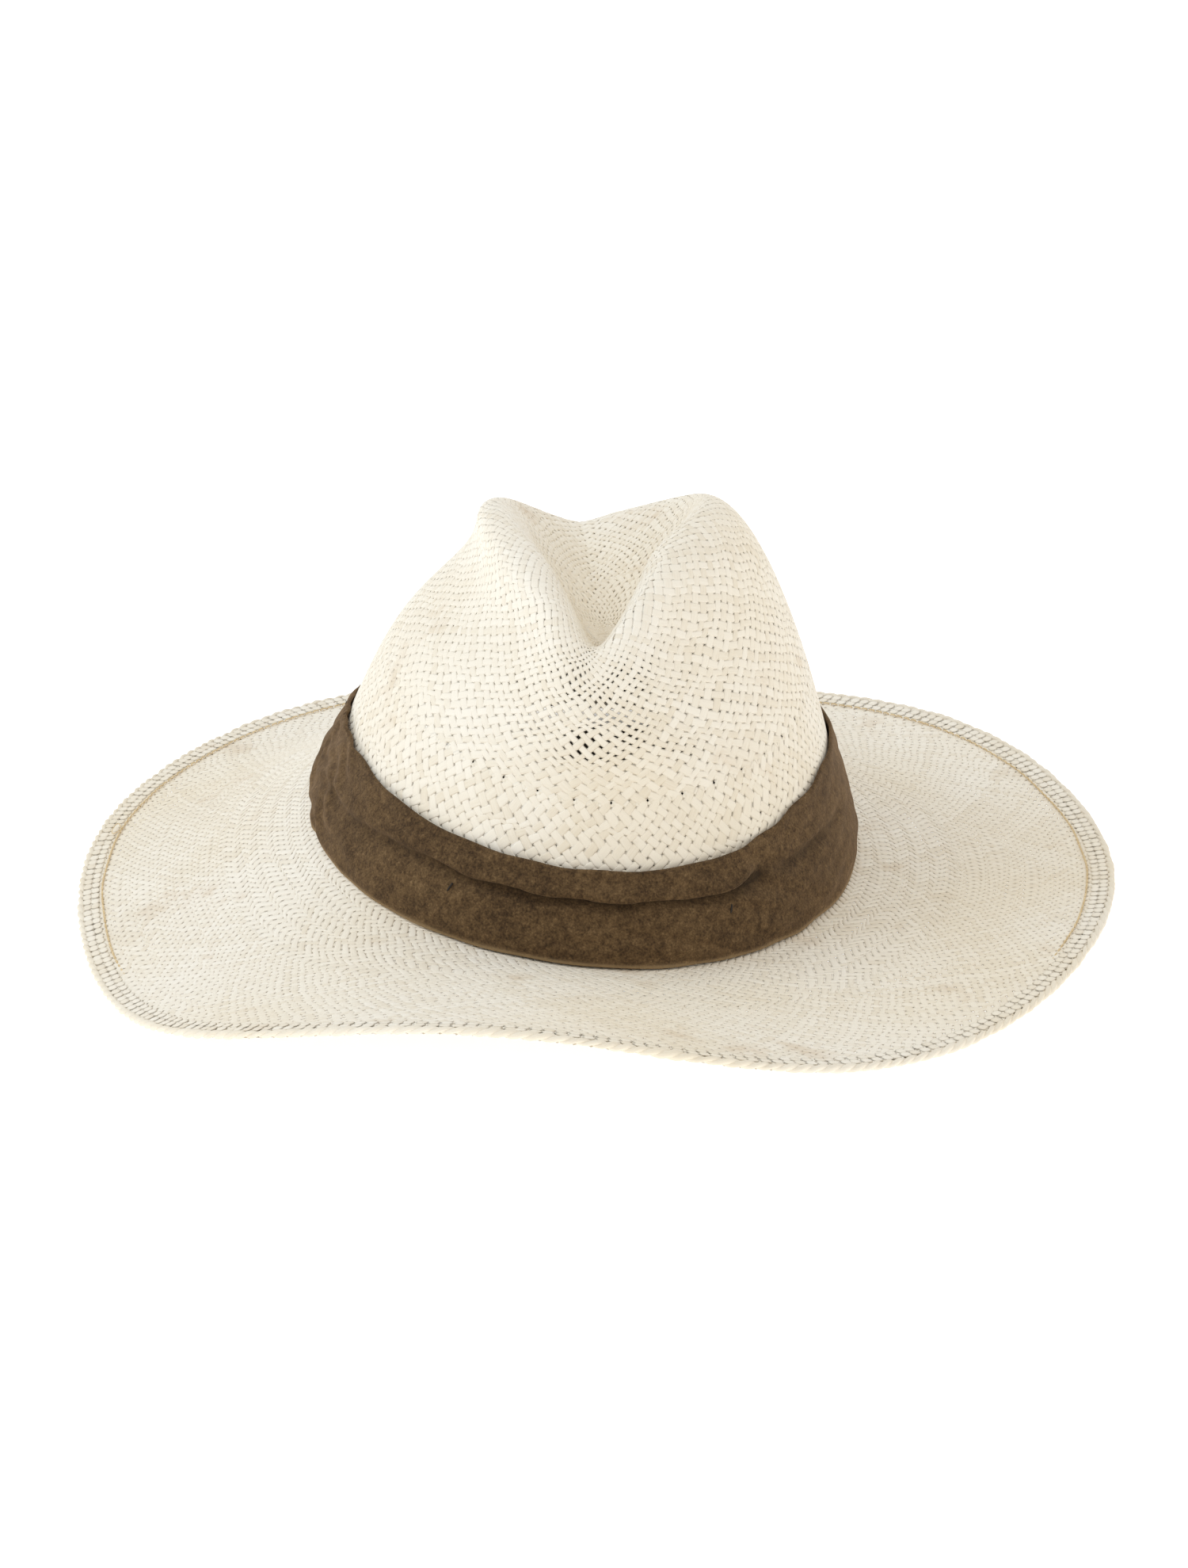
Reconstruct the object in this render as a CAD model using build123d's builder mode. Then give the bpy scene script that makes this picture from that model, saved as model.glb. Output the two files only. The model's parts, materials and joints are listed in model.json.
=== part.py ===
"""Panama hat: a woven straw body with a pinched crown and a wide wavy brim, a suede band, and a
sweatband sewn inside.

The shape is described in the hat's own axes: x to the wearer's left seen from the front, y from the
front of the hat to its back, z up the crown, with z = 0 where the crown meets the brim. The hat then
lies on its brim, so every point is carried from those axes into the model frame by one plane, HAT.
"""
from build123d import *
from math import atan2, cos, exp, hypot, pi, radians, remainder, sin, sqrt
import os

os.makedirs("parts", exist_ok=True)

# ---------------------------------------------------------------- driving dimensions, mm
STRAW = 1.1                  # thickness of the woven straw
HALF_WIDTH = 86.5            # outside of the crown where it meets the brim, side to side
HALF_LENGTH = 103.5          # the same, front to back
RING_POINTS = 40             # points on each closed curve round the hat

# Crown: the crest is the closed line along the top of the crown, round the crease.
CREST_FRONT = -57.3
CREST_BACK = 60.0
CREST_HALF_WIDTH = 41.7
CREST_SKEW = -3.8            # the crest lies further out on the right than on the left
CREST_TAPER = 0.65           # how much narrower the crest is at the front
CREST_TAPER_CURVE = 1.27
CREST_LEAN = -6.3            # the front of the crease is this much to the right
LIP_HEIGHT = 84.5            # crest height at the front, where the crease opens
LIP_ROUND = radians(17.9)
BACK_HEIGHT = 77.5
BACK_SHIFT = radians(14)     # the low point at the back is turned this far to the right
RIDGE_HEIGHT = 105.0
RIDGE_LEAN = 3.5             # the left ridge is this much above the mean, the right one below
SHOULDER_LEFT = 24.8
SHOULDER_RIGHT = 19.2
SHOULDER_END = 17.7          # at the front and the back
WALL_RISE = 0.30             # share of the height over which the wall stays nearly upright
WALL_DRAFT = 0.07            # how far the wall has come in by then, as a share of its distance
SIDE_SHARE = 0.6             # share of the way from the break to the crease's lowest point
CREASE_ROUND = 15.0
CREASE_HEIGHT = 68.0
CREASE_Y = -8.0
CREASE_FLAT = 0.45
PINCH_DEPTH = 5.0            # of the fingers' dent at each side of the front
PINCH_TURN = radians(44)     # from the front, to each side
PINCH_SPREAD = radians(18)
PINCH_LEVEL = 0.75           # share of the way up the side
PINCH_TALL = 0.2
DENT_DEPTH = 12.6            # of the broad dent in the right side, under its ridge
DENT_SPREAD = radians(40)
DENT_LEVEL = 0.68
DENT_TALL = 0.16

# Brim
BRIM_WIDTH = 87.0            # from the crown to the edge, along the straw
BRIM_DROP = -15.4            # mean height of the edge
BRIM_WAVE = [(1, 21.6, -21.3), (2, -5.4, -0.2), (3, 2.9, 6.9), (4, 1.7, -2.6), (5, -2.1, -1.3)]
BRIM_SAG = -5.0              # mean hollow of the brim half way out
BRIM_SAG_BACK = -5.0         # added at the back, taken off at the front

# Hem: the straw is turned under round a wire and sewn down.
HEM_WIDTH = 8.5
HEM_GAP = 0.3                # between the brim and the turned-under straw
WIRE_DIAMETER = 0.8
WIRE_INSET = 1.5
THREAD = 0.5

# Suede band, as heights above the break and how far its outside stands off the crown
SUEDE = 1.3
BAND_PROFILE = [(1.4, 3.4), (6.0, 4.2), (12.0, 3.8), (18.0, 3.0), (24.0, 2.2), (28.5, 1.7)]
BAND_RISE = 0.28             # how much taller the band has been pulled at the wearer's left
BAND_RISE_TURN = radians(-12)
BAND_RISE_SPREAD = radians(36)
LAP_HALF_ANGLE = radians(9)  # where the band's ends overlap, at the back
LAP_GAP = 0.15
TACKS = [-120, -58, 20, 160]     # degrees round the hat, from the wearer's left

# Sweatband
SWEATBAND = 1.0
SWEATBAND_GAP = 0.3
SWEATBAND_LOW = 0.4
SWEATBAND_TALL = 31.0
REED_DIAMETER = 1.6
REED_HEIGHT = -0.6
SEAM_WIDTH = 6.0
SEAM_THICK = 0.4
SEAM_GAP = 0.5

# Label: the top is sewn to the sweatband and the rest hangs from the fold.
LABEL_WIDTH = 20.0
LABEL_THICK = 0.5
LABEL_TAB = 4.0
LABEL_FLAP = 20.0
LABEL_TOP = 29.0
LABEL_STAND_OFF = 1.6        # the flat label bridges the curve of the sweatband
FOLD_GAP = 0.6               # from the tab to the line that the flap swings about
FLAP_GAP = 0.1               # from that line to the flap

# Rest pose: the hat lies on the three lowest places of its brim.
PITCH = 5.0                  # front down
ROLL = 8.5                   # wearer's left side down


# ---------------------------------------------------------------- shape of the straw
def mix(a, b, share):
    return a + (b - a) * share


def bezier(a, b, c, d, t):
    """Point on the cubic curve with these four control points."""
    u = 1 - t
    weights = (u**3, 3 * u * u * t, 3 * u * t * t, t**3)
    return tuple(sum(w * p[axis] for w, p in zip(weights, (a, b, c, d))) for axis in range(3))


def turn_from_front(theta):
    return atan2(cos(theta), -sin(theta))


def break_oval(theta, out=0.0):
    """Point of the oval where crown and brim meet, moved out square to it, and the way out."""
    nx, ny = HALF_LENGTH * cos(theta), HALF_WIDTH * sin(theta)
    length = hypot(nx, ny)
    nx, ny = nx / length, ny / length
    return HALF_WIDTH * cos(theta) + nx * out, HALF_LENGTH * sin(theta) + ny * out, nx, ny


def crest_height(theta):
    ridge = RIDGE_HEIGHT + RIDGE_LEAN * cos(theta)
    turn = turn_from_front(theta)
    if abs(turn) < pi / 2:
        soft = hypot(turn, LIP_ROUND) - LIP_ROUND
        full = hypot(pi / 2, LIP_ROUND) - LIP_ROUND
        return mix(LIP_HEIGHT, ridge, sin(pi / 2 * soft / full))
    from_back = pi - abs(turn)
    shift = BACK_SHIFT * (1 - 2 * from_back / pi)
    from_low = abs(from_back + (shift if turn > 0 else -shift))
    return mix(BACK_HEIGHT, ridge, sin(min(from_low, pi / 2)) ** 1.44)


def crest(theta):
    """Point of the crest, the closed line round the crease."""
    c, s = cos(theta), sin(theta)
    to_front = (1 - s) / 2
    x = (CREST_HALF_WIDTH * c + CREST_SKEW * c * c) * (1 - CREST_TAPER * to_front**CREST_TAPER_CURVE)
    return x + CREST_LEAN * to_front, mix(CREST_BACK, CREST_FRONT, to_front), crest_height(theta)


def crown_point(theta, s):
    """Outside of the crown. s runs from 0 at the break to 1 at the lowest point of the crease."""
    bx, by, _, _ = break_oval(theta)
    kx, ky, kz = crest(theta)
    run = hypot(bx - kx, by - ky)
    ox, oy = (bx - kx) / run, (by - ky) / run
    if s < SIDE_SHARE:
        t = s / SIDE_SHARE
        c = cos(theta)
        shoulder = mix(SHOULDER_END, mix(SHOULDER_RIGHT, SHOULDER_LEFT, (1 + c) / 2), c * c)
        wall = (bx * (1 - WALL_DRAFT), by * (1 - WALL_DRAFT), kz * WALL_RISE)
        shoulder_point = (kx + ox * shoulder, ky + oy * shoulder, kz)
        x, y, z = bezier((bx, by, 0), wall, shoulder_point, (kx, ky, kz), t)
        turn = turn_from_front(theta)
        across, level = (abs(turn) - PINCH_TURN) / PINCH_SPREAD, (t - PINCH_LEVEL) / PINCH_TALL
        pinch = PINCH_DEPTH * exp(-across**2 - level**2)
        across, level = (turn + pi / 2) / DENT_SPREAD, (t - DENT_LEVEL) / DENT_TALL
        pinch = (pinch + DENT_DEPTH * exp(-across**2 - level**2)) * (1 - t**6)
        return x - ox * pinch, y - oy * pinch, z
    t = (s - SIDE_SHARE) / (1 - SIDE_SHARE)
    rx, ry = -kx, CREASE_Y - ky
    reach = hypot(rx, ry)
    rim = (kx + rx * CREASE_ROUND / reach, ky + ry * CREASE_ROUND / reach, kz)
    floor = (kx + rx * (1 - CREASE_FLAT), ky + ry * (1 - CREASE_FLAT), CREASE_HEIGHT)
    return bezier((kx, ky, kz), rim, floor, (0, CREASE_Y, CREASE_HEIGHT), t)


def edge_height(theta):
    return BRIM_DROP + sum(a * cos(n * theta) + b * sin(n * theta) for n, a, b in BRIM_WAVE)


def brim_point(theta, u):
    """Top of the brim. u runs from 0 at the break to 1 at the edge."""
    drop = edge_height(theta)
    x, y, _, _ = break_oval(theta, u * sqrt(BRIM_WIDTH**2 - drop**2))
    sag = BRIM_SAG + BRIM_SAG_BACK * sin(theta)
    return x, y, drop * u + 4 * u * (1 - u) * sag


def below(surface, theta, s, depth):
    """Point this far under a surface, square to it."""
    step = 1e-4
    along = Vector(*surface(theta + step, s)) - Vector(*surface(theta - step, s))
    up = Vector(*surface(theta, s + step)) - Vector(*surface(theta, s - step))
    outward = along.cross(up).normalized()
    if surface is brim_point:
        outward = -outward
    return tuple(Vector(*surface(theta, s)) - outward * depth)


def wall_point(theta, height, out):
    """Point at a height on the crown's wall, moved straight out by a distance."""
    low, high = 0.0, SIDE_SHARE
    for _ in range(40):
        middle = (low + high) / 2
        if crown_point(theta, middle)[2] < height:
            low = middle
        else:
            high = middle
    x, y, _ = crown_point(theta, low)
    _, _, nx, ny = break_oval(theta)
    return x + nx * out, y + ny * out, height


def hem_point(theta, from_edge, depth):
    """Point in the hem, by its distance from the brim's edge and its depth under the brim's top."""
    return below(brim_point, theta, 1 - from_edge / BRIM_WIDTH, depth)


# ---------------------------------------------------------------- rest pose
HEM_DEPTH = 2 * STRAW + HEM_GAP + 0.7     # at the edge, where the fold holds the wire
TILTED = Plane(Rotation(0, ROLL, 0) * Rotation(PITCH, 0, 0))
rim = [hem_point(radians(a), 0, d) for a in range(360) for d in (0, HEM_DEPTH)]
rim = [TILTED.from_local_coords(Vector(*p)) for p in rim]
center_x = (min(p.X for p in rim) + max(p.X for p in rim)) / 2
center_y = (min(p.Y for p in rim) + max(p.Y for p in rim)) / 2
lowest = min(p.Z for p in rim)
HAT = Plane(Vector(-center_x, -center_y, -lowest), x_dir=TILTED.x_dir, z_dir=TILTED.z_dir)


# ---------------------------------------------------------------- building blocks
def ring(point_at):
    """Closed smooth curve round the hat, through the points that point_at(theta) gives."""
    points = [HAT.from_local_coords(Vector(*point_at(2 * pi * i / RING_POINTS))) for i in range(RING_POINTS)]
    return Wire([Edge.make_spline(points, periodic=True)])


def smooth_skin(sections):
    return Shell.make_loft(sections).faces()


def straight_skin(first, second):
    return Shell.make_loft([first, second], ruled=True).faces()


def hoop(point_at, profile):
    """Solid ring whose cross-section is the polygon of (a, b) pairs that point_at takes."""
    rings = [ring(lambda theta, a=a, b=b: point_at(theta, a, b)) for a, b in profile]
    faces = []
    for first, second in zip(rings, rings[1:] + rings[:1]):
        faces += straight_skin(first, second)
    return Solid(Shell(faces))


def sleeve(outside, inside):
    """Solid ring between two lists of rings, with a smooth outside and a smooth inside."""
    faces = smooth_skin(outside) + smooth_skin(inside)
    faces += straight_skin(outside[0], inside[0]) + straight_skin(outside[-1], inside[-1])
    return Solid(Shell(faces))


def round_profile(x, y, diameter, sides=8):
    corners = [2 * pi * (i + 0.5) / sides for i in range(sides)]
    return [(x + diameter / 2 * cos(a), y + diameter / 2 * sin(a)) for a in corners]


# ---------------------------------------------------------------- straw body
# The rings are close together low down, so that the skin doesn't bulge into the sweatband between them.
CROWN_STEPS = [0, 0.03, 0.06, 0.1, 0.14, 0.18, 0.22, 0.26, 0.3, 0.34, 0.38]
CROWN_STEPS += [0.43, 0.49, 0.54, 0.6, 0.66, 0.72, 0.79, 0.86, 0.93, 0.97]


def crown_rings(depth):
    """Rings from the foot of the wall to near the crease's lowest point, which closes them."""
    rings = [ring(lambda theta: break_oval(theta, -depth)[:2] + (-STRAW,))]
    rings += [ring(lambda theta, s=s: below(crown_point, theta, s, depth)) for s in CROWN_STEPS[1:]]
    pole = HAT.from_local_coords(Vector(0, CREASE_Y, CREASE_HEIGHT - depth))
    return rings, Vertex(*pole)


outer_rings, outer_pole = crown_rings(0)
inner_rings, inner_pole = crown_rings(STRAW)
with BuildPart() as crown:
    faces = smooth_skin(outer_rings + [outer_pole]) + smooth_skin(inner_rings + [inner_pole])
    faces += straight_skin(outer_rings[0], inner_rings[0])
    add(Solid(Shell(faces)))

BREAK_GAP = 0.1              # the brim's inner edge stands this far off the foot of the crown's wall
BRIM_STEPS = [0.12, 0.25, 0.4, 0.55, 0.7, 0.85, 1]
with BuildPart() as brim:
    top = [ring(lambda theta: break_oval(theta, BREAK_GAP)[:2] + (0,))]
    top += [ring(lambda theta, u=u: brim_point(theta, u)) for u in BRIM_STEPS]
    bottom = [ring(lambda theta: break_oval(theta, BREAK_GAP)[:2] + (-STRAW,))]
    bottom += [ring(lambda theta, u=u: below(brim_point, theta, u, STRAW)) for u in BRIM_STEPS]
    add(sleeve(top, bottom))

# ---------------------------------------------------------------- hem, its wire and its thread
with BuildPart() as brim_hem:
    top, under = STRAW + HEM_GAP, 2 * STRAW + HEM_GAP
    pocket = HEM_DEPTH - 0.9
    fold = [(0, top), (0, HEM_DEPTH), (2.4, HEM_DEPTH), (3.6, under), (HEM_WIDTH, under)]
    fold += [(HEM_WIDTH, top), (2.9, top), (2.2, pocket), (0.8, pocket), (0.8, top)]
    add(hoop(hem_point, fold))

with BuildPart() as brim_wire:
    add(hoop(hem_point, round_profile(WIRE_INSET, STRAW + HEM_GAP + WIRE_DIAMETER / 2, WIRE_DIAMETER)))

with BuildPart() as hem_stitching:
    inset = HEM_WIDTH - 1
    low, high = -0.1, -0.1 - THREAD / 2
    add(hoop(hem_point, [(inset, low), (inset, high), (inset + THREAD, high), (inset + THREAD, low)]))


# ---------------------------------------------------------------- suede band
def band_rings(profile, inward):
    return [ring(lambda theta, z=z, out=out: wall_point(theta, z, out - inward)) for z, out in profile]


def band_height(theta, height):
    turn = remainder(theta - BAND_RISE_TURN, 2 * pi)
    return height * (1 + BAND_RISE * exp(-(turn / BAND_RISE_SPREAD) ** 2))


def suede_rings(inward):
    return [ring(lambda theta, z=z, out=out: wall_point(theta, band_height(theta, z), out - inward))
            for z, out in BAND_PROFILE]


with BuildPart() as hat_band:
    add(sleeve(suede_rings(0), suede_rings(SUEDE)))


def on_wall(theta, height, out, width, thickness):
    """Sketch a small block's section on the level plane at a height, square to the crown's wall."""
    x, y, _ = wall_point(theta, height, out + thickness / 2)
    _, _, nx, ny = break_oval(theta)
    along = HAT.x_dir * -ny + HAT.y_dir * nx
    with BuildSketch(Plane(HAT.from_local_coords(Vector(x, y, height)), along, HAT.z_dir)) as section:
        Rectangle(width, thickness)
    return section.sketch


def back_patch(profile, half_angle):
    """Curved block on the back wall. The profile lists heights, the inside's and the outside's stand-off."""
    sections = []
    for height, inside, outside in profile:
        with BuildSketch(HAT.offset(height)) as section:
            with BuildLine():
                angles = [pi / 2 + half_angle * (i / 2 - 1) for i in range(5)]
                near = Spline([wall_point(a, height, inside)[:2] for a in angles])
                far = Spline([wall_point(a, height, outside)[:2] for a in angles])
                Line(near @ 0, far @ 0)
                Line(near @ 1, far @ 1)
            make_face()
        sections.append(section.sketch)
    return sections


with BuildPart() as band_lap:
    loft(back_patch([(z, out + LAP_GAP, out + LAP_GAP + SUEDE) for z, out in BAND_PROFILE], LAP_HALF_ANGLE))

with BuildPart() as band_lap_stitches:
    for side in (-1, 1):
        for row in range(5):
            height = 5 + 5 * row
            near = pi / 2 + side * LAP_HALF_ANGLE * 0.8
            out = 6.8 - 0.1 * height
            loft([on_wall(near, z, out, THREAD, THREAD / 2) for z in (height, height + 2.5)])

with BuildPart() as band_tacks:
    for angle in TACKS:
        loft([on_wall(radians(angle), height, 4.2, 0.8, THREAD / 2) for height in (13.0, 16.0)])


# ---------------------------------------------------------------- sweatband
LEATHER_OUT = -(STRAW + SWEATBAND_GAP)
LEATHER_IN = LEATHER_OUT - SWEATBAND
with BuildPart() as sweatband:
    levels = [mix(SWEATBAND_LOW, SWEATBAND_TALL, i / 4) for i in range(5)]
    add(sleeve(band_rings([(z, LEATHER_OUT) for z in levels], 0), band_rings([(z, LEATHER_IN) for z in levels], 0)))

with BuildPart() as sweatband_reed:
    inset = -(STRAW + 0.3 + REED_DIAMETER / 2)
    profile = round_profile(inset, REED_HEIGHT, REED_DIAMETER)
    add(hoop(lambda theta, out, z: break_oval(theta, out)[:2] + (z,), profile))

with BuildPart() as sweatband_stitching:
    low, high = 2.0, 2.0 + THREAD
    out = LEATHER_IN - 0.1
    add(hoop(wall_point, [(low, out), (high, out), (high, out - THREAD / 2), (low, out - THREAD / 2)]))

with BuildPart() as sweatband_back_seam:
    heights = (3.5, 12.0, 22.0, SWEATBAND_TALL - 0.5)
    out = LEATHER_IN - SEAM_GAP - SEAM_THICK
    loft([on_wall(pi / 2, height, out, SEAM_WIDTH, SEAM_THICK) for height in heights])

# ---------------------------------------------------------------- label
TAB_OUT = LEATHER_IN - LABEL_STAND_OFF - LABEL_THICK
with BuildPart() as label_tab:
    heights = (LABEL_TOP - LABEL_TAB, LABEL_TOP)
    loft([on_wall(pi / 2, height, TAB_OUT, LABEL_WIDTH, LABEL_THICK) for height in heights])

with BuildPart() as label_stitches:
    heights = (LABEL_TOP - 1.5, LABEL_TOP - 1.0)
    out = TAB_OUT - THREAD / 2 - 0.05
    loft([on_wall(pi / 2, height, out, LABEL_WIDTH - 3, THREAD / 2) for height in heights])

fold_x, fold_y, fold_z = wall_point(pi / 2, LABEL_TOP - LABEL_TAB - FOLD_GAP, TAB_OUT + LABEL_THICK / 2)
with BuildPart() as size_label:
    up = Vector(0, 0, 1) - HAT.x_dir * HAT.x_dir.Z
    hanging = Plane(HAT.from_local_coords(Vector(fold_x, fold_y, fold_z)), HAT.x_dir, HAT.x_dir.cross(up))
    with BuildSketch(hanging):
        with Locations((0, -FLAP_GAP - LABEL_FLAP / 2)):
            Rectangle(LABEL_WIDTH, LABEL_FLAP)
    extrude(amount=LABEL_THICK / 2, both=True)

# ---------------------------------------------------------------- label and write each piece
crown.part.label = "crown"
export_step(crown.part, "parts/crown.step")
brim.part.label = "brim"
export_step(brim.part, "parts/brim.step")
brim_hem.part.label = "brim_hem"
export_step(brim_hem.part, "parts/brim_hem.step")
brim_wire.part.label = "brim_wire"
export_step(brim_wire.part, "parts/brim_wire.step")
hem_stitching.part.label = "hem_stitching"
export_step(hem_stitching.part, "parts/hem_stitching.step")
hat_band.part.label = "hat_band"
export_step(hat_band.part, "parts/hat_band.step")
band_lap.part.label = "band_lap"
export_step(band_lap.part, "parts/band_lap.step")
band_lap_stitches.part.label = "band_lap_stitches"
export_step(band_lap_stitches.part, "parts/band_lap_stitches.step")
band_tacks.part.label = "band_tacks"
export_step(band_tacks.part, "parts/band_tacks.step")
sweatband.part.label = "sweatband"
export_step(sweatband.part, "parts/sweatband.step")
sweatband_reed.part.label = "sweatband_reed"
export_step(sweatband_reed.part, "parts/sweatband_reed.step")
sweatband_stitching.part.label = "sweatband_stitching"
export_step(sweatband_stitching.part, "parts/sweatband_stitching.step")
sweatband_back_seam.part.label = "sweatband_back_seam"
export_step(sweatband_back_seam.part, "parts/sweatband_back_seam.step")
label_tab.part.label = "label_tab"
export_step(label_tab.part, "parts/label_tab.step")
label_stitches.part.label = "label_stitches"
export_step(label_stitches.part, "parts/label_stitches.step")
size_label.part.label = "size_label"
export_step(size_label.part, "parts/size_label.step")

fold_line = HAT.from_local_coords(Vector(fold_x, fold_y, fold_z))
print("head opening at", HAT.origin, "axis", -HAT.z_dir)
print("label fold at", fold_line, "axis", HAT.x_dir)
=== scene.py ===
"""Looks of a panama hat: straw woven strand by strand, a rope-like edge, a sewn hem, a pleated suede band,
and finishes for the sweatband, its trim and the label.

Shapes are worked out in millimetres in the hat's own axes: x to the wearer's left, y from front to back,
z up the crown, with z = 0 where crown and brim meet. theta runs round the hat from the wearer's left, and
is -90 degrees at the front. place() carries points from there into the model frame, in metres.
"""
import json
from math import cos, hypot, pi, radians, sin, sqrt

import bpy
import numpy as np
from mathutils import Matrix, Vector


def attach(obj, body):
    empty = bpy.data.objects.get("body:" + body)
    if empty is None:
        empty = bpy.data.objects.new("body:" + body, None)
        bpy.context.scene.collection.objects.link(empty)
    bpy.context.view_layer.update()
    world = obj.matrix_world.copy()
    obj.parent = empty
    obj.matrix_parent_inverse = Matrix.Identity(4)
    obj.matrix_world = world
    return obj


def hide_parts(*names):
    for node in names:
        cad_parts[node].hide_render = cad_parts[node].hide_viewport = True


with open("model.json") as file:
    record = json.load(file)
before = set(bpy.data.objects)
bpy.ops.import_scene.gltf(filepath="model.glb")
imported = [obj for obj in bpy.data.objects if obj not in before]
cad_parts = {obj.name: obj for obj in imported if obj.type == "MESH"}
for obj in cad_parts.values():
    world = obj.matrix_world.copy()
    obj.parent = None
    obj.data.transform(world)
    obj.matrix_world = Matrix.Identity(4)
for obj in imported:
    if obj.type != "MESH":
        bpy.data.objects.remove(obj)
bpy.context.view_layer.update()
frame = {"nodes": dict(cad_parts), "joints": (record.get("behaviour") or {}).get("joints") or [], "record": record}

MM = 0.001

# ------------ driving dimensions, mm, as in the CAD part
STRAW = 1.1
HALF_WIDTH = 86.5
HALF_LENGTH = 103.5
CREST_FRONT = -57.3
CREST_BACK = 60.0
CREST_HALF_WIDTH = 41.7
CREST_SKEW = -3.8
CREST_TAPER = 0.65
CREST_TAPER_CURVE = 1.27
CREST_LEAN = -6.3
LIP_HEIGHT = 84.5
LIP_ROUND = radians(17.9)
BACK_HEIGHT = 77.5
BACK_SHIFT = radians(14)
RIDGE_HEIGHT = 105.0
RIDGE_LEAN = 3.5
SHOULDER_LEFT = 24.8
SHOULDER_RIGHT = 19.2
SHOULDER_END = 17.7
WALL_RISE = 0.30
WALL_DRAFT = 0.07
SIDE_SHARE = 0.6
CREASE_ROUND = 15.0
CREASE_HEIGHT = 68.0
CREASE_Y = -8.0
CREASE_FLAT = 0.45
PINCH_DEPTH = 5.0
PINCH_TURN = radians(44)
PINCH_SPREAD = radians(18)
PINCH_LEVEL = 0.75
PINCH_TALL = 0.2
DENT_DEPTH = 12.6
DENT_SPREAD = radians(40)
DENT_LEVEL = 0.68
DENT_TALL = 0.16
BRIM_WIDTH = 87.0
BRIM_DROP = -15.4
BRIM_WAVE = [(1, 21.6, -21.3), (2, -5.4, -0.2), (3, 2.9, 6.9), (4, 1.7, -2.6), (5, -2.1, -1.3)]
BRIM_SAG = -5.0
BRIM_SAG_BACK = -5.0
HEM_WIDTH = 8.5
SUEDE = 1.3
BAND_PROFILE = [(1.4, 3.4), (6.0, 4.2), (12.0, 3.8), (18.0, 3.0), (24.0, 2.2), (28.5, 1.7)]
BAND_RISE = 0.28
BAND_RISE_TURN = radians(-12)
BAND_RISE_SPREAD = radians(36)
LAP_HALF_ANGLE = radians(9)
LAP_GAP = 0.15
TACKS = [-120, -58, 20, 160]
SWEATBAND = 1.0
SWEATBAND_GAP = 0.3
SWEATBAND_LOW = 0.4
SWEATBAND_TALL = 31.0
REED_DIAMETER = 1.6
REED_HEIGHT = -0.6
SEAM_WIDTH = 6.0
SEAM_THICK = 0.4
SEAM_GAP = 0.5
LABEL_WIDTH = 20.0
LABEL_THICK = 0.5
LABEL_TAB = 4.0
LABEL_FLAP = 20.0
LABEL_TOP = 29.0
LABEL_STAND_OFF = 1.6
FLAP_GAP = 0.1
FOLD_GAP = 0.6

# ------------ the hat's axes in the model frame
head_opening = next(m for m in frame["record"]["mounts"] if m["name"] == "head_opening")
label_fold = frame["joints"][0]
UP = -np.array(head_opening["axis"], float)
UP /= np.linalg.norm(UP)
LEFT = -np.array(label_fold["axis"], float)
LEFT /= np.linalg.norm(LEFT)
BACK = np.cross(UP, LEFT)
AXES = np.stack([LEFT, BACK, UP])
ORIGIN = np.array(head_opening["pos_m"], float)


def place(points):
    """Carries points from the hat's axes, in millimetres, into the model frame, in metres."""
    return ORIGIN + np.asarray(points, float) * MM @ AXES


# ------------ shape of the straw
def mix(a, b, share):
    return a + (b - a) * share


def stack(*parts):
    return np.stack(np.broadcast_arrays(*parts), axis=-1)


def unit(v):
    return v / np.maximum(np.linalg.norm(v, axis=-1, keepdims=True), 1e-9)


def bezier(a, b, c, d, t):
    t = t[..., None]
    u = 1 - t
    return u**3 * a + 3 * u * u * t * b + 3 * u * t * t * c + t**3 * d


def turn_from_front(theta):
    return np.arctan2(np.cos(theta), -np.sin(theta))


def break_oval(theta, out=0.0):
    """Point of the oval where crown and brim meet, moved out square to it, and the way out."""
    nx, ny = HALF_LENGTH * np.cos(theta), HALF_WIDTH * np.sin(theta)
    length = np.hypot(nx, ny)
    nx, ny = nx / length, ny / length
    return HALF_WIDTH * np.cos(theta) + nx * out, HALF_LENGTH * np.sin(theta) + ny * out, nx, ny


def crest_height(theta):
    ridge = RIDGE_HEIGHT + RIDGE_LEAN * np.cos(theta)
    turn = turn_from_front(theta)
    soft = np.hypot(turn, LIP_ROUND) - LIP_ROUND
    full = hypot(pi / 2, LIP_ROUND) - LIP_ROUND
    front = mix(LIP_HEIGHT, ridge, np.sin(pi / 2 * np.minimum(soft / full, 1)))
    from_back = pi - np.abs(turn)
    shift = BACK_SHIFT * (1 - 2 * from_back / pi)
    from_low = np.abs(from_back + np.where(turn > 0, shift, -shift))
    back = mix(BACK_HEIGHT, ridge, np.sin(np.minimum(from_low, pi / 2)) ** 1.44)
    return np.where(np.abs(turn) < pi / 2, front, back)


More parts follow.
